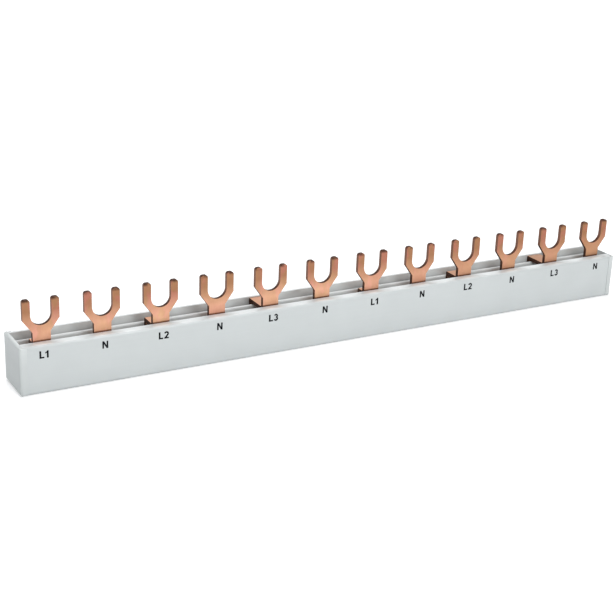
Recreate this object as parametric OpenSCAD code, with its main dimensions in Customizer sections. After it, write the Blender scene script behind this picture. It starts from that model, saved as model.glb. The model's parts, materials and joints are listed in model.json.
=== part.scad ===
// Four-pole comb busbar: an open-topped plastic rail that holds four flat copper bars side by side,
// each of them with fork terminals that take their turn along one straight row.
// Millimetres. X runs along the row of forks, the front faces -Y, and the forks point up.
// The origin is at the middle of the base.

/* [Row of forks] */
// Distance from one fork to the next, which is the width of one breaker pole
pitch = 17.8; // [17.5:0.1:18]
// Number of forks in the row
fork_count = 12; // [8:4:24]
// Length from the outermost forks' centres to the ends of the rail
end_margin = 7.6; // [7:0.1:12]

/* [Plastic rail] */
// Height of the rail, from its base to its front edge
rail_h = 14.5; // [14:0.1:18]
// Depth of the hollow strip along the front of the rail
front_depth = 3; // [2.9:0.05:4]
// Width of each slot that holds a copper bar
slot_w = 1.45; // [1.4:0.01:1.6]
// Thickness of the ribs between two slots
rib_t = 1.25; // [1:0.05:1.5]
// Thickness of the rail's front wall
front_wall_t = 1; // [0.8:0.1:1.2]
// Thickness of the rail's rear wall
rear_wall_t = 1.65; // [1:0.05:2.5]
// Thickness of the rail's floor
floor_t = 1.3; // [1:0.1:2]
// How far the rear rib stays below the rail's front edge
rear_rib_drop = 1.7; // [1.7:0.1:3]
// How far the two ribs before it stay below the rail's front edge
low_rib_drop = 3.1; // [1.7:0.1:4]

/* [Copper bars] */
// Thickness of the copper sheet
sheet_t = 1.25; // [1:0.05:1.3]
// Height of the flat strip inside the rail
strip_h = 8; // [6:0.1:9]
// Length from a strip's end to the outside of the rail
strip_setback = 2.2; // [1.6:0.1:5]
// Inner radius of the bends in the tongues
bend_r = 0.2; // [0.1:0.05:0.4]
// Outer radius of the bends, which are struck sharp
bend_corner_r = 0.5; // [0.3:0.1:0.6]
// How far the tongues stay below the rail's front edge, where they cross the ribs
tongue_drop = 0.2; // [0.1:0.05:0.3]

/* [Fork shape, heights from the rail's front edge] */
// Width of a fork
fork_w = 10.6; // [10:0.1:12]
// Width of the gap between a fork's two prongs
gap_w = 6.1; // [5.6:0.1:7]
// Width of the tongue below a fork
tongue_w = 5.2; // [4.5:0.1:6]
// Height of the tips of the prongs
tip_h = 12.6; // [12:0.1:14]
// Radius of the corners of the tips
tip_r = 0.8; // [0.5:0.1:1]
// Height of the bottom of the gap
gap_h = 4.8; // [4.6:0.1:5.5]
// Height at which the tongue starts to widen
flare_low_h = 2.8; // [2.6:0.1:3.2]
// Height at which the fork has its full width
flare_high_h = 6.5; // [6:0.1:7]

/* [End caps] */
// Thickness of an end cap's wall, which closes the end of the rail
cap_wall_t = 1; // [0.8:0.1:1.5]
// Length of the skirt that wraps round the end of the rail
skirt_l = 1.2; // [0.8:0.1:3]
// How far the cap stands out past the rail's front, top and back
cap_lip = 0.2; // [0.2:0.05:0.6]
// Length of the plug that goes into the rail's hollow front
plug_l = 6; // [4:0.5:9]
// Radius of the cap's outer edges
cap_edge_r = 1; // [0.3:0.1:1]

/* [Hidden] */

plastic_colour = [0.80, 0.82, 0.81];
copper_colour = [0.80, 0.50, 0.36];

pole_count = 4;
inner_wall_t = 1;
corner_r = 0.9;
cut = 1;
$fn = 48;

row_l = pitch * (fork_count - 1);
total_l = row_l + 2 * end_margin;
rail_l = total_l - 2 * cap_wall_t;
rail_d = front_depth + pole_count * slot_w + (pole_count - 1) * rib_t + rear_wall_t;
front_y = -rail_d / 2;
slot_step = slot_w + rib_t;
strip_l = total_l - 2 * strip_setback;
strip_top = floor_t + strip_h;
bend_out = bend_r + sheet_t;
fork_back_y = blade_y(0) + sheet_t;
low_bend_z = rail_h - tongue_drop - bend_out;
high_bend_z = low_bend_z + bend_r + bend_out;
prong_w = (fork_w - gap_w) / 2;

// Places of the forks along the row, and of the slots and the strips in them from front to back
function fork_x(i) = i * pitch - row_l / 2;
function slot_y(k) = front_y + front_depth + k * slot_step;
function blade_y(k) = slot_y(k) + (slot_w - sheet_t) / 2;

// Turns a section drawn with depth across and height up into a solid of a given length along X
module along_x(length) {
    translate([-length / 2, 0, 0])
        rotate([90, 0, 90])
            linear_extrude(length)
                children();
}

// Rectangle from one corner, with each of its four corners rounded
module rounded_rect(size, r) {
    translate([r, 0])
        square([size[0] - 2 * r, size[1]]);
    translate([0, r])
        square([size[0], size[1] - 2 * r]);
    for (x = [r, size[0] - r], y = [r, size[1] - r])
        translate([x, y])
            circle(r);
}

// The room above a rib, which leaves the rib's top edge round
module rib_top_cut(y, top_z) {
    difference() {
        translate([y, top_z - rib_t / 2])
            square([rib_t, rail_h - top_z + rib_t / 2 + cut]);
        translate([y + rib_t / 2, top_z - rib_t / 2])
            circle(rib_t / 2);
    }
}

// Section of the rail: a hollow front, four slots that open upwards and three ribs between them
module rail_section() {
    cell = [front_depth - front_wall_t - inner_wall_t, rail_h - floor_t - front_wall_t];
    difference() {
        translate([front_y, 0])
            rounded_rect([rail_d, rail_h], corner_r);
        translate([front_y + front_wall_t, floor_t])
            square(cell);
        for (k = [0 : pole_count - 1])
            translate([slot_y(k), floor_t])
                square([slot_w, rail_h]);
        for (k = [0 : pole_count - 2])
            rib_top_cut(slot_y(k) + slot_w, rail_h - (k == pole_count - 2 ? rear_rib_drop : low_rib_drop));
    }
}

module housing() {
    color(plastic_colour)
        along_x(rail_l)
            rail_section();
}

// End cap for the left end: a wall with rounded outer edges, a skirt along the rail's front and
// back, and a plug for the rail's hollow front
module end_cap() {
    cap_d = rail_d + 2 * cap_lip;
    cap_h = rail_h + cap_lip;
    cap_l = cap_wall_t + skirt_l;
    plug = [front_depth - front_wall_t - inner_wall_t, rail_h - floor_t - front_wall_t];
    color(plastic_colour)
        translate([-total_l / 2, 0, 0]) {
            difference() {
                intersection() {
                    rotate([90, 0, 90])
                        linear_extrude(cap_l)
                            translate([-cap_d / 2, 0])
                                rounded_rect([cap_d, cap_h], corner_r);
                    translate([0, cap_d / 2, 0])
                        rotate([90, 0, 0])
                            linear_extrude(cap_d)
                                rounded_rect([cap_l + 2 * cap_edge_r, cap_h], cap_edge_r);
                    translate([0, -cap_d / 2, 0])
                        linear_extrude(cap_h)
                            rounded_rect([cap_l + 2 * cap_edge_r, cap_d], cap_edge_r);
                }
                translate([cap_wall_t, -rail_d / 2, -cut])
                    cube([cap_l, rail_d, cap_h + 2 * cut]);
            }
            translate([cap_wall_t, front_y + front_wall_t, floor_t])
                cube([plug_l, plug[0], plug[1]]);
        }
}

module left_end_cap() {
    end_cap();
}

module right_end_cap() {
    mirror([1, 0, 0])
        end_cap();
}

// Outline of a fork seen from the front, from low_z at the tongue up to the two tips
module fork_outline(low_z) {
    shoulder_z = tip_h - tip_r;
    difference() {
        union() {
            polygon([[-tongue_w / 2, low_z], [tongue_w / 2, low_z], [tongue_w / 2, flare_low_h],
                     [fork_w / 2, flare_high_h], [fork_w / 2, shoulder_z],
                     [-fork_w / 2, shoulder_z], [-fork_w / 2, flare_high_h],
                     [-tongue_w / 2, flare_low_h]]);
            for (x = [-fork_w / 2, gap_w / 2])
                translate([x, flare_high_h])
                    rounded_rect([prong_w, tip_h - flare_high_h], tip_r);
        }
        translate([0, gap_h + gap_w / 2])
            circle(gap_w / 2);
        translate([-gap_w / 2, gap_h + gap_w / 2])
            square([gap_w, tip_h]);
    }
}

// Bend of the sheet by a right angle, in the section plane, about its centre
module bend_section(centre, from) {
    inset = bend_out - bend_corner_r;
    translate(centre)
        rotate(from)
            difference() {
                union() {
                    square([bend_out, inset]);
                    square([inset, bend_out]);
                    translate([inset, inset])
                        circle(bend_corner_r);
                }
                circle(bend_r);
            }
}

// Section of a tongue: up from the strip in slot k, forward over the ribs and up into the fork
module tongue_section(k) {
    translate([blade_y(k), strip_top - cut])
        square([sheet_t, low_bend_z - strip_top + cut]);
    bend_section([blade_y(k) - bend_r, low_bend_z], 0);
    translate([fork_back_y + bend_r, low_bend_z + bend_r])
        square([blade_y(k) - fork_back_y - 2 * bend_r, sheet_t]);
    bend_section([fork_back_y + bend_r, high_bend_z], 180);
}

// One stamped piece of copper: the strip in slot k and its forks at the given places. The forks
// of the strip in the first slot rise straight from it, and the others are bent forward in line
module copper_bar(k, places) {
    fork_low_z = k > 0 ? high_bend_z : strip_top - cut;
    color(copper_colour) {
        translate([-strip_l / 2, blade_y(k), floor_t])
            cube([strip_l, sheet_t, strip_h]);
        for (i = places)
            translate([fork_x(i), 0, 0]) {
                if (k > 0)
                    along_x(tongue_w)
                        tongue_section(k);
                translate([0, fork_back_y, rail_h])
                    rotate([90, 0, 0])
                        linear_extrude(sheet_t)
                            fork_outline(fork_low_z - rail_h);
            }
    }
}

// The neutral bar has every second fork; the three phase bars share the others in turn
module neutral_bar() {
    copper_bar(0, [1 : 2 : fork_count - 1]);
}

module phase_bar(phase) {
    copper_bar(phase, [2 * (phase - 1) : 2 * (pole_count - 1) : fork_count - 1]);
}

module phase_1_bar() {
    phase_bar(1);
}

module phase_2_bar() {
    phase_bar(2);
}

module phase_3_bar() {
    phase_bar(3);
}

housing();
left_end_cap();
right_end_cap();
neutral_bar();
phase_1_bar();
phase_2_bar();
phase_3_bar();
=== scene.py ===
"""Looks of the comb busbar: plastic rail and end caps, stamped copper bars, phase letters.

Metres throughout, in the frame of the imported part. MM turns millimetres into metres.
"""

import json
import math

import bmesh
import bpy
from mathutils import Matrix, Vector


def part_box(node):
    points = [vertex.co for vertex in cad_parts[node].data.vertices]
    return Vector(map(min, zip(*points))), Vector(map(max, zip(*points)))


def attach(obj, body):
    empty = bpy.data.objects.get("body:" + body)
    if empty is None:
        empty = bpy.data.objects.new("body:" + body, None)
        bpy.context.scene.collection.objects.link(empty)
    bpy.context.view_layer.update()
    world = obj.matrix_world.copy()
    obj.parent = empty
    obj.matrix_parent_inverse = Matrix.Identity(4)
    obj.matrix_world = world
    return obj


MM = 0.001

# Phases of the four bars, in the order in which their forks follow each other along the row
PHASE_ORDER = ("L1", "N", "L2", "N", "L3", "N")

# Print on the front of the rail, in millimetres: its height, how far its middle lies below the
# rail's top and beside its fork, and its thickness
LETTER_H = 2.2
LETTER_DROP = 2.7
LETTER_SLIDE = -0.5
PRINT_T = 0.02

# Edge rounding of each kind of piece, and the gap closed before it, in millimetres
PLASTIC_EDGE = 0.15
COPPER_EDGE = 0.10
WELD_GAP = 0.002

# Steps across a rounded edge, and the angle in degrees from which an edge is rounded
EDGE_STEPS = 2
SHARP_ANGLE = 40

# Camera: sensor width, focal length, nearest distance and place in millimetres, angles in degrees
SENSOR = 36
LENS = 77.044
NEAREST = 10
CAMERA_AT = (-200.73, -334.0, 153.56)
CAMERA_YAW = 29.544
CAMERA_PITCH = 20.488
CAMERA_ROLL = 2.209

# Lamps: name, place and size in metres, power in watts; all aim a little above the origin
LAMPS = (
    ("key", (-0.03, -0.52, 0.38), (0.28, 0.4), 2.04),
    ("fill", (-0.75, -0.4, 0.3), (0.5, 0.5), 0.2),
    ("top", (0.05, 0.35, 0.9), (0.5, 0.4), 4.6),
)
LAMP_AIM = (0, 0, 0.01)

# Floor: its side and two distances from its middle, in metres, and its glow's strength at each
# of the two
FLOOR_SIZE = 6
GLOW_REACH = (0.1, 0.5)
GLOW = (0.45, 1.0)

# World: colour and strength of the soft light from all round
WORLD_LIGHT = (0.95, 0.975, 1.0)
WORLD_STRENGTH = 0.38

# Colours, as linear red, green and blue
WHITE = (1, 1, 1)
FLOOR = (0.8, 0.8, 0.8)
INK = (0.002, 0.002, 0.004)
INK_THIN = (0.012, 0.013, 0.018)
PLASTIC = (0.645, 0.68, 0.68)
PLASTIC_LINE = (0.45, 0.48, 0.49)
# Painted highlight along the rail's top edges and high on its inner walls, and painted light
# towards the caps' tops
PLASTIC_HIGHLIGHT = (0.84, 0.87, 0.87)
# Painted shade low inside the rail
PLASTIC_DEEP_SHADE = (0.34, 0.335, 0.33)
# Painted shadow blotches on the rail's inner walls
PLASTIC_SHADOW_BLOTCH = (0.36, 0.355, 0.35)
CAP_PLASTIC = (0.63, 0.665, 0.66)
# Painted shade on the caps' end faces
CAP_END_SHADE = (0.56, 0.60, 0.61)
COPPER_PINK = (0.69, 0.35, 0.24)
COPPER_GOLD = (0.70, 0.41, 0.235)
COPPER_BLOTCH = (0.46, 0.20, 0.13)
COPPER_BLUSH = (0.78, 0.36, 0.29)
COPPER_GRAIN = (0.80, 0.56, 0.43)
COPPER_BROWNED = (0.42, 0.22, 0.12)
# Painted shade on the copper below the rail's top, the straps among it
COPPER_STRAP_SHADE = (0.34, 0.17, 0.09)
# Painted shadow line along the necks just above the rail
COPPER_NECK_SHADOW = (0.10, 0.04, 0.025)
COPPER_STAIN = (0.05, 0.025, 0.018)
# Painted shade on the prongs, for the darker reflections they catch, in gold and pink patches
PRONG_SHADE_GOLD = (0.29, 0.14, 0.068)
PRONG_SHADE_PINK = (0.35, 0.132, 0.09)
# Cut edges; the darkest tone also serves as painted shade low on the necks
CUT_DARK = (0.03, 0.013, 0.009)
CUT_PALE = (0.20, 0.105, 0.075)
CUT_STREAK = (0.20, 0.085, 0.05)

# How dark the plastics' blotches are, as shares of their own colour
PLASTIC_BLOTCH = 0.965
CAP_BLOTCH = 0.97

# Roughness of each finish, from its smoothest spots to its roughest
PLASTIC_ROUGH = (0.34, 0.44)
CAP_ROUGH = (0.42, 0.52)
COPPER_ROUGH = (0.36, 0.48)
CUT_ROUGHER = 0.14
INK_ROUGH = (0.45, 0.6)

# Index of refraction of the plastics and metals, and of the ink
SOLID_IOR = 1.5
INK_IOR = 1.2

# Depth of each finish's bump, in millimetres
LINE_DEPTH = 0.006
MOULD_DEPTH = 0.004
SHEET_DEPTH = 0.008

# Depths behind the rail's outer faces over which its painted inside shade, highlights and shadow
# blotches begin, in millimetres
FRONT_SKIN = (0.5, 0.6)
REAR_SKIN = (0.3, 0.4)

# Heights between which a tone comes in, in millimetres above the rail's top; the stains' are
# above the forks' tips
# Painted shade low inside the rail
RAIL_DEEP_SHADE = (-1.6, -4)
# Painted highlights high on the rail's inner walls and along its outer top edges
RAIL_INNER_HIGHLIGHT = (-2.2, -0.3)
RAIL_OUTER_HIGHLIGHT = (-0.4, -0.1)
# Painted light towards the caps' tops
CAP_TOP_HIGHLIGHT = (-6, 0)
# Painted shadow line on the necks just above the rail
NECK_SHADOW_TOP = (0.6, 0.25)
NECK_SHADOW_BOTTOM = (-0.1, 0.05)
# Painted shade on the copper below the rail's top
STRAP_SHADE = (0, -0.2)
# Painted shade on the prongs
PRONG_SHADE_HEIGHTS = (3, 9)
# Painted shade low on the necks' cut edges
NECK_CUT_SHADE = (3.5, 1.5)
TIP_STAIN = (-1.0, -0.3)

# Height from which a bar is fork and no longer tongue, in millimetres above the rail's top
FORK_BASE = 0.1

# Sockets of a Mix node that mixes colours
MIX_FACTOR = 0
MIX_FIRST = 6
MIX_SECOND = 7
MIX_RESULT = 2


# ---------------------------------------------------------------- node graphs

class Graph:
    """Nodes of a material or of the world, added one at a time and linked by socket."""

    def __init__(self, owner, output_kind="ShaderNodeOutputMaterial"):
        owner.use_nodes = True
        self.owner = owner
        self.tree = owner.node_tree
        self.tree.nodes.clear()
        self.output = self.add(output_kind)

    @classmethod
    def of_material(cls, name):
        return cls(bpy.data.materials.new(name))

    def add(self, kind, **settings):
        node = self.tree.nodes.new(kind)
        for key, value in settings.items():
            setattr(node, key, value)
        return node

    def link(self, source, target):
        self.tree.links.new(source, target)

    def millimetres(self, stretch):
        """Object coordinates in millimetres, divided by the stretch along each axis."""
        place = self.add("ShaderNodeTexCoord")
        scaling = self.add("ShaderNodeMapping")
        scaling.inputs["Scale"].default_value = [1 / MM / s for s in stretch]
        self.link(place.outputs["Object"], scaling.inputs["Vector"])
        return scaling.outputs["Vector"]

    def axis(self, output, name):
        """One axis of the object coordinates or of the normal."""
        place = self.add("ShaderNodeTexCoord")
        parts = self.add("ShaderNodeSeparateXYZ")
        self.link(place.outputs[output], parts.inputs["Vector"])
        return parts.outputs[name]

    def position(self, name):
        return self.axis("Object", name)

    def facing(self, name):
        """How far the surface faces along an axis, either way, from 0 to 1."""
        return self.maths("ABSOLUTE", self.axis("Normal", name))

    def noise(self, size, stretch=(1, 1, 1), detail=3.0):
        """Noise whose blotches are about size millimetres across, before the stretch."""
        node = self.add("ShaderNodeTexNoise")
        node.inputs["Scale"].default_value = 1 / size
        node.inputs["Detail"].default_value = detail
        self.link(self.millimetres(stretch), node.inputs["Vector"])
        return node.outputs["Fac"]

    def spread(self, value, low, high, from_low=0.3, from_high=0.7):
        """Maps a value to a range, without going past its ends."""
        node = self.add("ShaderNodeMapRange")
        for key, number in (("From Min", from_low), ("From Max", from_high),
                            ("To Min", low), ("To Max", high)):
            node.inputs[key].default_value = number
        self.link(value, node.inputs["Value"])
        return node.outputs["Result"]

    def rise(self, level, heights, most=1.0):
        """Goes from 0 at one height to most at another, both in millimetres above a level."""
        start, end = (level + height * MM for height in heights)
        return self.spread(self.position("Z"), 0, most, start, end)

    def maths(self, operation, a, b=0.0):
        """Does an operation on one or two values, each given as a socket or a number."""
        node = self.add("ShaderNodeMath", operation=operation)
        for socket, value in zip(node.inputs, (a, b)):
            if isinstance(value, (int, float)):
                socket.default_value = value
            else:
                self.link(value, socket)
        return node.outputs["Value"]

    def blend(self, factor, a, b):
        """Mixes two colours, each given as a socket or as red, green and blue."""
        node = self.add("ShaderNodeMix", data_type="RGBA")
        self.link(factor, node.inputs[MIX_FACTOR])
        for index, value in ((MIX_FIRST, a), (MIX_SECOND, b)):
            if isinstance(value, tuple):
                node.inputs[index].default_value = (*value, 1)
            else:
                self.link(value, node.inputs[index])
        return node.outputs[MIX_RESULT]

    def bump(self, height, depth):
        """Bump of the given depth in millimetres."""
        node = self.add("ShaderNodeBump")
        node.inputs["Strength"].default_value = 1.0
        node.inputs["Distance"].default_value = depth * MM
        self.link(height, node.inputs["Height"])
        return node.outputs["Normal"]

    def seen(self):
        """1 for rays from a view, a reflection or a refraction, and 0 for those that light."""
        rays = self.add("ShaderNodeLightPath").outputs
        mirrored = self.maths("MAXIMUM", rays["Is Glossy Ray"], rays["Is Transmission Ray"])
        return self.maths("MAXIMUM", rays["Is Camera Ray"], mirrored)

    def surface(self, colour, roughness, metallic=0.0, normal=None, ior=SOLID_IOR):
        shader = self.add("ShaderNodeBsdfPrincipled")
        shader.inputs["Metallic"].default_value = metallic
        shader.inputs["IOR"].default_value = ior
        self.link(colour, shader.inputs["Base Color"])
        self.link(roughness, shader.inputs["Roughness"])
        if normal is not None:
            self.link(normal, shader.inputs["Normal"])
        return self.finish(shader.outputs["BSDF"])

    def finish(self, shader):
        """Ends the graph in a shader, and returns the material or world that owns it."""
        self.link(shader, self.output.inputs["Surface"])
        return self.owner


# ---------------------------------------------------------------- materials

def shade(colour, share):
    return tuple(share * channel for channel in colour)


def rail_inside(graph, low, high):
    """1 within the rail, and 0 on the outer faces of its front and rear walls."""
    depth = graph.position("Y")
    behind_front = graph.spread(depth, 0, 1, *(low[1] + skin * MM for skin in FRONT_SKIN))
    behind_rear = graph.spread(depth, 0, 1, *(high[1] - skin * MM for skin in REAR_SKIN))
    return graph.maths("MULTIPLY", behind_front, behind_rear)


def extruded_plastic(low, high):
    """Light grey plastic with faint extrusion lines, with painted highlights along its top edges
    and high on its inner walls, and painted shade and painted shadow blotches inside.
    """
    graph = Graph.of_material("extruded_plastic")
    lines = graph.noise(size=0.35, stretch=(150, 1, 1), detail=2.0)
    blotches = graph.noise(size=9.0)
    tone = graph.blend(graph.spread(blotches, 0, 1), PLASTIC, shade(PLASTIC, PLASTIC_BLOTCH))
    tone = graph.blend(graph.spread(lines, 0, 0.05), tone, PLASTIC_LINE)

    top = high[2]
    inside = rail_inside(graph, low, high)
    # Painted shade: darker low inside the rail
    deep_shade = graph.maths("MULTIPLY", inside, graph.rise(top, RAIL_DEEP_SHADE, most=0.45))
    tone = graph.blend(deep_shade, tone, PLASTIC_DEEP_SHADE)

    # Painted highlights: paler high on the inner walls and along the outer top edges
    inner_highlight = graph.maths("MULTIPLY", inside, graph.rise(top, RAIL_INNER_HIGHLIGHT, most=0.6))
    outer_highlight = graph.rise(top, RAIL_OUTER_HIGHLIGHT, most=0.3)
    tone = graph.blend(graph.maths("MAXIMUM", inner_highlight, outer_highlight), tone, PLASTIC_HIGHLIGHT)

    # Painted shadows: darker blotches on the inner walls that face front or back
    shadow_blotches = graph.noise(size=5.0, stretch=(1.6, 1, 1), detail=1.0)
    upright = graph.maths("MULTIPLY", inside, graph.facing("Y"))
    shadowed = graph.spread(shadow_blotches, 0, 0.4, from_low=0.45, from_high=0.62)
    tone = graph.blend(graph.maths("MULTIPLY", upright, shadowed), tone, PLASTIC_SHADOW_BLOTCH)

    roughness = graph.spread(blotches, *PLASTIC_ROUGH)
    return graph.surface(tone, roughness, normal=graph.bump(lines, LINE_DEPTH))


def moulded_plastic(top):
    """Light grey plastic with the fine grain of a mould, with painted shade on its end faces and
    painted light towards its top.
    """
    graph = Graph.of_material("moulded_plastic")
    grain = graph.noise(size=0.18, detail=4.0)
    blotches = graph.noise(size=6.0)
    tone = graph.blend(graph.spread(blotches, 0, 1), CAP_PLASTIC, shade(CAP_PLASTIC, CAP_BLOTCH))
    # Painted shade on the end faces
    end_shade = graph.spread(graph.facing("X"), 0, 0.3, from_low=0.8, from_high=0.95)
    tone = graph.blend(end_shade, tone, CAP_END_SHADE)
    # Painted light: paler towards the top
    tone = graph.blend(graph.rise(top, CAP_TOP_HIGHLIGHT, most=0.35), tone, PLASTIC_HIGHLIGHT)
    roughness = graph.spread(grain, *CAP_ROUGH)
    return graph.surface(tone, roughness, normal=graph.bump(grain, MOULD_DEPTH))


def sheared_edge_mask(graph, rail_top):
    """1 on the sheet's cut edges and 0 on its rolled faces.

    The forks stand across Y, so their cut edges turn away from Y. The tongues below them run
    along Y and Z, so there only the sides that face X are cut.
    """
    on_fork = graph.maths("GREATER_THAN", graph.position("Z"), rail_top + FORK_BASE * MM)
    fork_edge = graph.spread(graph.facing("Y"), 1, 0, from_low=0.25, from_high=0.85)
    tongue_edge = graph.spread(graph.facing("X"), 0, 1, from_low=0.15, from_high=0.75)
    fork_part = graph.maths("MULTIPLY", fork_edge, on_fork)
    tongue_part = graph.maths("MULTIPLY", tongue_edge, graph.maths("SUBTRACT", 1.0, on_fork))
    return graph.maths("ADD", fork_part, tongue_part)


def copper_face(graph, blotches, patches, grain, right_end):
    """Tone of the rolled sheet: pink and gold with blotches, browner towards the right end."""
    clouds = graph.noise(size=11.0, detail=2.0)
    gold = graph.spread(clouds, 0, 1, from_low=0.35, from_high=0.65)
    tone = graph.blend(gold, COPPER_PINK, COPPER_GOLD)
    tone = graph.blend(graph.spread(blotches, 0, 0.4), tone, COPPER_BLOTCH)
    blush = graph.spread(patches, 0, 0.45, from_low=0.52, from_high=0.62)
    tone = graph.blend(blush, tone, COPPER_BLUSH)
    tone = graph.blend(graph.spread(grain, 0, 0.16), tone, COPPER_GRAIN)
    browned = graph.spread(graph.position("X"), 0.1, 0.85, -0.1 * right_end, right_end)
    return graph.blend(browned, tone, COPPER_BROWNED)


def copper_stains_and_shade(graph, tone, patches, rail_top, tip_top):
    """Darkens the tone: painted shade on the prongs, a painted shadow line on the necks just above
    the rail, painted shade on the straps, and stains at the tips.
    """
    # Painted shade on the prongs, darker higher up, in gold and pink patches
    pinker = graph.spread(patches, 0, 1, from_low=0.45, from_high=0.58)
    prong_shade = graph.blend(pinker, PRONG_SHADE_GOLD, PRONG_SHADE_PINK)
    tone = graph.blend(graph.rise(rail_top, PRONG_SHADE_HEIGHTS, most=0.85), tone, prong_shade)

    # Painted shadow line on the necks just above the rail
    neck_shadow = graph.maths("MULTIPLY", graph.rise(rail_top, NECK_SHADOW_TOP, most=0.9),
                       graph.rise(rail_top, NECK_SHADOW_BOTTOM))
    tone = graph.blend(neck_shadow, tone, COPPER_NECK_SHADOW)
    # Painted shade on the straps and all copper below the rail's top
    tone = graph.blend(graph.rise(rail_top, STRAP_SHADE, most=0.35), tone, COPPER_STRAP_SHADE)

    spots = graph.spread(graph.noise(size=1.6, detail=2.0), 0, 1, from_low=0.35, from_high=0.6)
    stains = graph.maths("MULTIPLY", spots, graph.rise(tip_top, TIP_STAIN, most=0.9))
    return graph.blend(stains, tone, COPPER_STAIN)


def copper_cut(graph, rail_top, shear):
    """Tone of the cut edges: darkest low on the necks, which is painted shade, and where they face
    up or down.
    """
    # Painted shade: darker low on the necks' cut edges
    tone = graph.blend(graph.rise(rail_top, NECK_CUT_SHADE, most=0.85), CUT_PALE, CUT_DARK)
    upward = graph.spread(graph.facing("Z"), 0, 1, from_low=0.2, from_high=0.8)
    tone = graph.blend(upward, tone, CUT_DARK)
    return graph.blend(graph.spread(shear, 0, 0.35), tone, CUT_STREAK)


def stamped_copper(rail_top, tip_top, right_end):
    """Rolled copper sheet with a fine grain and darker, rougher cut edges."""
    graph = Graph.of_material("stamped_copper")
    grain = graph.noise(size=0.12, stretch=(1, 1, 14), detail=4.0)
    blotches = graph.noise(size=3.2, detail=3.0)
    patches = graph.noise(size=2.4, stretch=(1, 1, 1.8), detail=2.0)
    shear = graph.noise(size=0.10, stretch=(1, 10, 1), detail=3.0)
    edge = sheared_edge_mask(graph, rail_top)
    face = copper_face(graph, blotches, patches, grain, right_end)
    face = copper_stains_and_shade(graph, face, patches, rail_top, tip_top)
    tone = graph.blend(edge, face, copper_cut(graph, rail_top, shear))
    roughness = graph.maths("ADD", graph.spread(blotches, *COPPER_ROUGH),
                            graph.maths("MULTIPLY", edge, CUT_ROUGHER))
    height = graph.maths("ADD", grain, graph.maths("MULTIPLY", shear, edge))
    return graph.surface(tone, roughness, metallic=1.0, normal=graph.bump(height, SHEET_DEPTH))


def printing_ink():
    """Thin black ink, a little uneven."""
    graph = Graph.of_material("printing_ink")
    spots = graph.noise(size=0.25, detail=3.0)
    tone = graph.blend(graph.spread(spots, 0, 0.3), INK, INK_THIN)
    return graph.surface(tone, graph.spread(spots, *INK_ROUGH), ior=INK_IOR)


def pale_floor():
    """Pale studio floor that shows white and keeps the object's shadow."""
    graph = Graph.of_material("pale_floor")
    paper = graph.add("ShaderNodeBsdfDiffuse")
    paper.inputs["Color"].default_value = (*FLOOR, 1)
    distance = graph.add("ShaderNodeVectorMath", operation="LENGTH")
    graph.link(graph.add("ShaderNodeTexCoord").outputs["Object"], distance.inputs[0])
    strength = graph.spread(distance.outputs["Value"], *GLOW, *GLOW_REACH)
    glow = graph.add("ShaderNodeEmission")
    graph.link(graph.maths("MULTIPLY", graph.seen(), strength), glow.inputs["Strength"])
    both = graph.add("ShaderNodeAddShader")
    graph.link(paper.outputs["BSDF"], both.inputs[0])
    graph.link(glow.outputs["Emission"], both.inputs[1])
    return graph.finish(both.outputs["Shader"])


def paint(obj, material):
    obj.data.materials.clear()
    obj.data.materials.append(material)


# ---------------------------------------------------------------- CAD pieces

def soften_edges(obj, width):
    """Rounds a CAD piece's sharp edges by the given width in millimetres, its mesh untouched."""
    weld = obj.modifiers.new("weld", "WELD")
    weld.merge_threshold = WELD_GAP * MM
    bevel = obj.modifiers.new("edges", "BEVEL")
    bevel.width = width * MM
    bevel.segments = EDGE_STEPS
    bevel.limit_method = "ANGLE"
    bevel.angle_limit = math.radians(SHARP_ANGLE)
    bevel.use_clamp_overlap = True
    bevel.harden_normals = True


def dress_frame(frame):
    """Gives every CAD piece its material and its rounded edges."""
    low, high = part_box("housing")
    right_end, _, tip_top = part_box("neutral_bar")[1]
    copper = stamped_copper(high[2], tip_top, right_end)
    cap = moulded_plastic(high[2])
    finishes = {
        "housing": (extruded_plastic(low, high), PLASTIC_EDGE),
        "left_end_cap": (cap, PLASTIC_EDGE),
        "right_end_cap": (cap, PLASTIC_EDGE),
    }
    for name, obj in frame["nodes"].items():
        material, edge = finishes.get(name, (copper, COPPER_EDGE))
        for slot in obj.material_slots:
            slot.material = material
        soften_edges(obj, edge)


# ---------------------------------------------------------------- print

# Letters and digits, in parts of their height: the width of their strokes, the gap between two
# of them, their straight-sided outlines and how far each reaches across
STROKE = 0.225
GLYPH_GAP = 0.13
OUTLINES = {
    "L": (((0, 0), (0.63, 0), (0.63, 0.2), (0.24, 0.2), (0.24, 1), (0, 1)),),
    "N": (((0, 0), (0.22, 0), (0.22, 0.6), (0.57, 0), (0.8, 0), (0.8, 1), (0.58, 1),
           (0.58, 0.4), (0.23, 1), (0, 1)),),
    "1": (((0.2, 0), (0.44, 0), (0.44, 1), (0.27, 1), (0.18, 0.86), (0, 0.77), (0, 0.58),
           (0.2, 0.69)),),
    "2": (((0, 0), (0.66, 0), (0.66, 0.19), (0, 0.19)),),
    "3": (),
}
WIDTHS = {"L": 0.63, "N": 0.8, "1": 0.46, "2": 0.66, "3": 0.66}


def arc(centre, radius, start, end, steps=14):
    """Points on an arc, from one angle to the other in degrees."""
    angles = (math.radians(start + (end - start) * i / steps) for i in range(steps + 1))
    return [(centre[0] + radius * math.cos(a), centre[1] + radius * math.sin(a)) for a in angles]


# Centre lines of the round strokes of the 2 and the 3
STROKES = {
    "2": (arc((0.33, 0.675), 0.23, 165, -42) + [(0.14, 0.1)],),
    "3": (arc((0.315, 0.7125), 0.1925, 160, -90), arc((0.315, 0.3075), 0.2125, 90, -165)),
}


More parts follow.
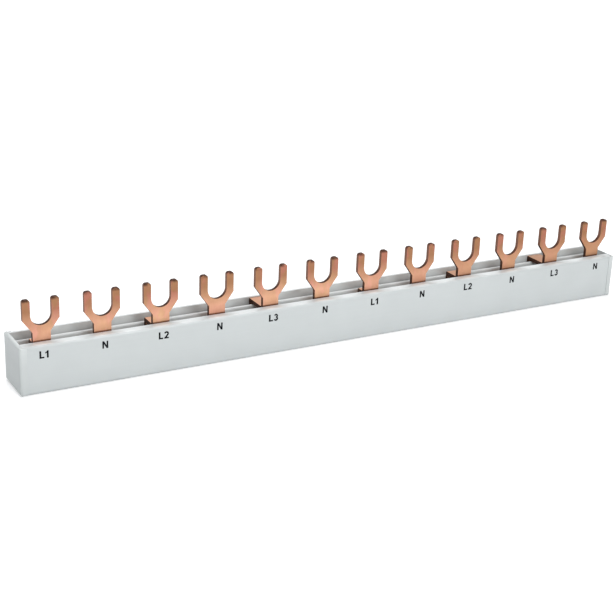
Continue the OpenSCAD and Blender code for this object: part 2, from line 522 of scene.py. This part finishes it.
def stroke_outline(points, width):
    """Closed outline of a stroke of the given width along a line of points."""
    sides = ([], [])
    for i, point in enumerate(points):
        before, after = points[max(i - 1, 0)], points[min(i + 1, len(points) - 1)]
        along = Vector((after[0] - before[0], after[1] - before[1])).normalized()
        for side, offset in zip(sides, (width / 2, -width / 2)):
            side.append((point[0] - along.y * offset, point[1] + along.x * offset))
    return sides[0] + sides[1][::-1]


def add_word(bm, word, centre, height):
    """Adds a word's thin solid letters, facing -Y, to a bmesh; centre is on the printed face."""
    across = sum(WIDTHS[c] for c in word) + GLYPH_GAP * (len(word) - 1)
    left = -across / 2
    for character in word:
        outlines = list(OUTLINES[character])
        outlines += [stroke_outline(line, STROKE) for line in STROKES.get(character, ())]
        for outline in outlines:
            corners = [centre + height * Vector((left + x, 0, y - 0.5)) for x, y in outline]
            face = bm.faces.new([bm.verts.new(corner) for corner in corners])
            moved = bmesh.ops.extrude_face_region(bm, geom=[face])["geom"]
            bmesh.ops.translate(bm, vec=(0, -PRINT_T * MM, 0),
                                verts=[e for e in moved if isinstance(e, bmesh.types.BMVert)])
        left += WIDTHS[character] + GLYPH_GAP


def add_piece(name, build, material):
    """Makes a piece from a bmesh that build fills in, and lets it ride with the part."""
    bm = bmesh.new()
    build(bm)
    bmesh.ops.recalc_face_normals(bm, faces=bm.faces)
    mesh = bpy.data.meshes.new(name)
    bm.to_mesh(mesh)
    bm.free()
    obj = bpy.data.objects.new(name, mesh)
    bpy.context.scene.collection.objects.link(obj)
    paint(obj, material)
    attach(obj, "root")


def print_phase_letters(frame, ink):
    """Prints each fork's phase on the front of the rail, below the fork."""
    forks = sorted(mount["pos_m"][0] for mount in frame["record"]["mounts"]
                   if mount["name"].startswith("fork_"))
    low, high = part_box("housing")

    def build(bm):
        for i, x in enumerate(forks):
            centre = Vector((x + LETTER_SLIDE * MM, low[1], high[2] - LETTER_DROP * MM))
            add_word(bm, PHASE_ORDER[i % len(PHASE_ORDER)], centre, LETTER_H * MM)

    add_piece("phase_letters", build, ink)


# ---------------------------------------------------------------- studio

def add_area_light(name, at, size, power):
    light = bpy.data.lights.new(name, "AREA")
    light.shape = "RECTANGLE"
    light.size, light.size_y = size
    light.energy = power
    obj = bpy.data.objects.new(name, light)
    obj.location = at
    obj.rotation_euler = (Vector(LAMP_AIM) - Vector(at)).to_track_quat("-Z", "Y").to_euler()
    bpy.context.scene.collection.objects.link(obj)


def background(graph, colour, strength):
    node = graph.add("ShaderNodeBackground")
    node.inputs["Color"].default_value = (*colour, 1)
    node.inputs["Strength"].default_value = strength
    return node.outputs["Background"]


def build_world():
    """Soft light from all round, which shows white where it is seen or mirrored."""
    graph = Graph(bpy.data.worlds.new("studio"), "ShaderNodeOutputWorld")
    mix = graph.add("ShaderNodeMixShader")
    graph.link(graph.seen(), mix.inputs["Fac"])
    graph.link(background(graph, WORLD_LIGHT, WORLD_STRENGTH), mix.inputs[1])
    graph.link(background(graph, WHITE, 1), mix.inputs[2])
    bpy.context.scene.world = graph.finish(mix.outputs["Shader"])


def build_studio():
    bpy.ops.mesh.primitive_plane_add(size=FLOOR_SIZE)
    floor = bpy.context.object
    floor.name = "studio_floor"
    paint(floor, pale_floor())
    build_world()
    for lamp in LAMPS:
        add_area_light(*lamp)


def build_camera():
    yaw, pitch, roll = (math.radians(a) for a in (CAMERA_YAW, CAMERA_PITCH, CAMERA_ROLL))
    level = math.cos(pitch)
    ahead = Vector((math.sin(yaw) * level, math.cos(yaw) * level, -math.sin(pitch)))
    upright = ahead.to_track_quat("-Z", "Y")
    camera = bpy.data.objects.new("camera", bpy.data.cameras.new("camera"))
    camera.data.sensor_width = SENSOR
    camera.data.lens = LENS
    camera.data.clip_start = NEAREST * MM
    camera.location = Vector(CAMERA_AT) * MM
    camera.rotation_mode = "QUATERNION"
    camera.rotation_quaternion = upright @ Matrix.Rotation(roll, 3, "Z").to_quaternion()
    bpy.context.scene.collection.objects.link(camera)
    bpy.context.scene.camera = camera


# ---------------------------------------------------------------- the scene

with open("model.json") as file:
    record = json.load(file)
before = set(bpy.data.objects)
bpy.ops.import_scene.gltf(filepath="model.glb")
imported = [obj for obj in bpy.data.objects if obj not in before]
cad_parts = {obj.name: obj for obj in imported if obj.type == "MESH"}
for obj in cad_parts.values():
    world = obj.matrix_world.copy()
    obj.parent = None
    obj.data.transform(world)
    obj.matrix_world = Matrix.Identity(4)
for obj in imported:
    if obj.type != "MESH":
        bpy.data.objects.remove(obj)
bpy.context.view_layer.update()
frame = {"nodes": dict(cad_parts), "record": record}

dress_frame(frame)
print_phase_letters(frame, printing_ink())
build_studio()
build_camera()
bpy.context.scene.view_settings.view_transform = "Standard"
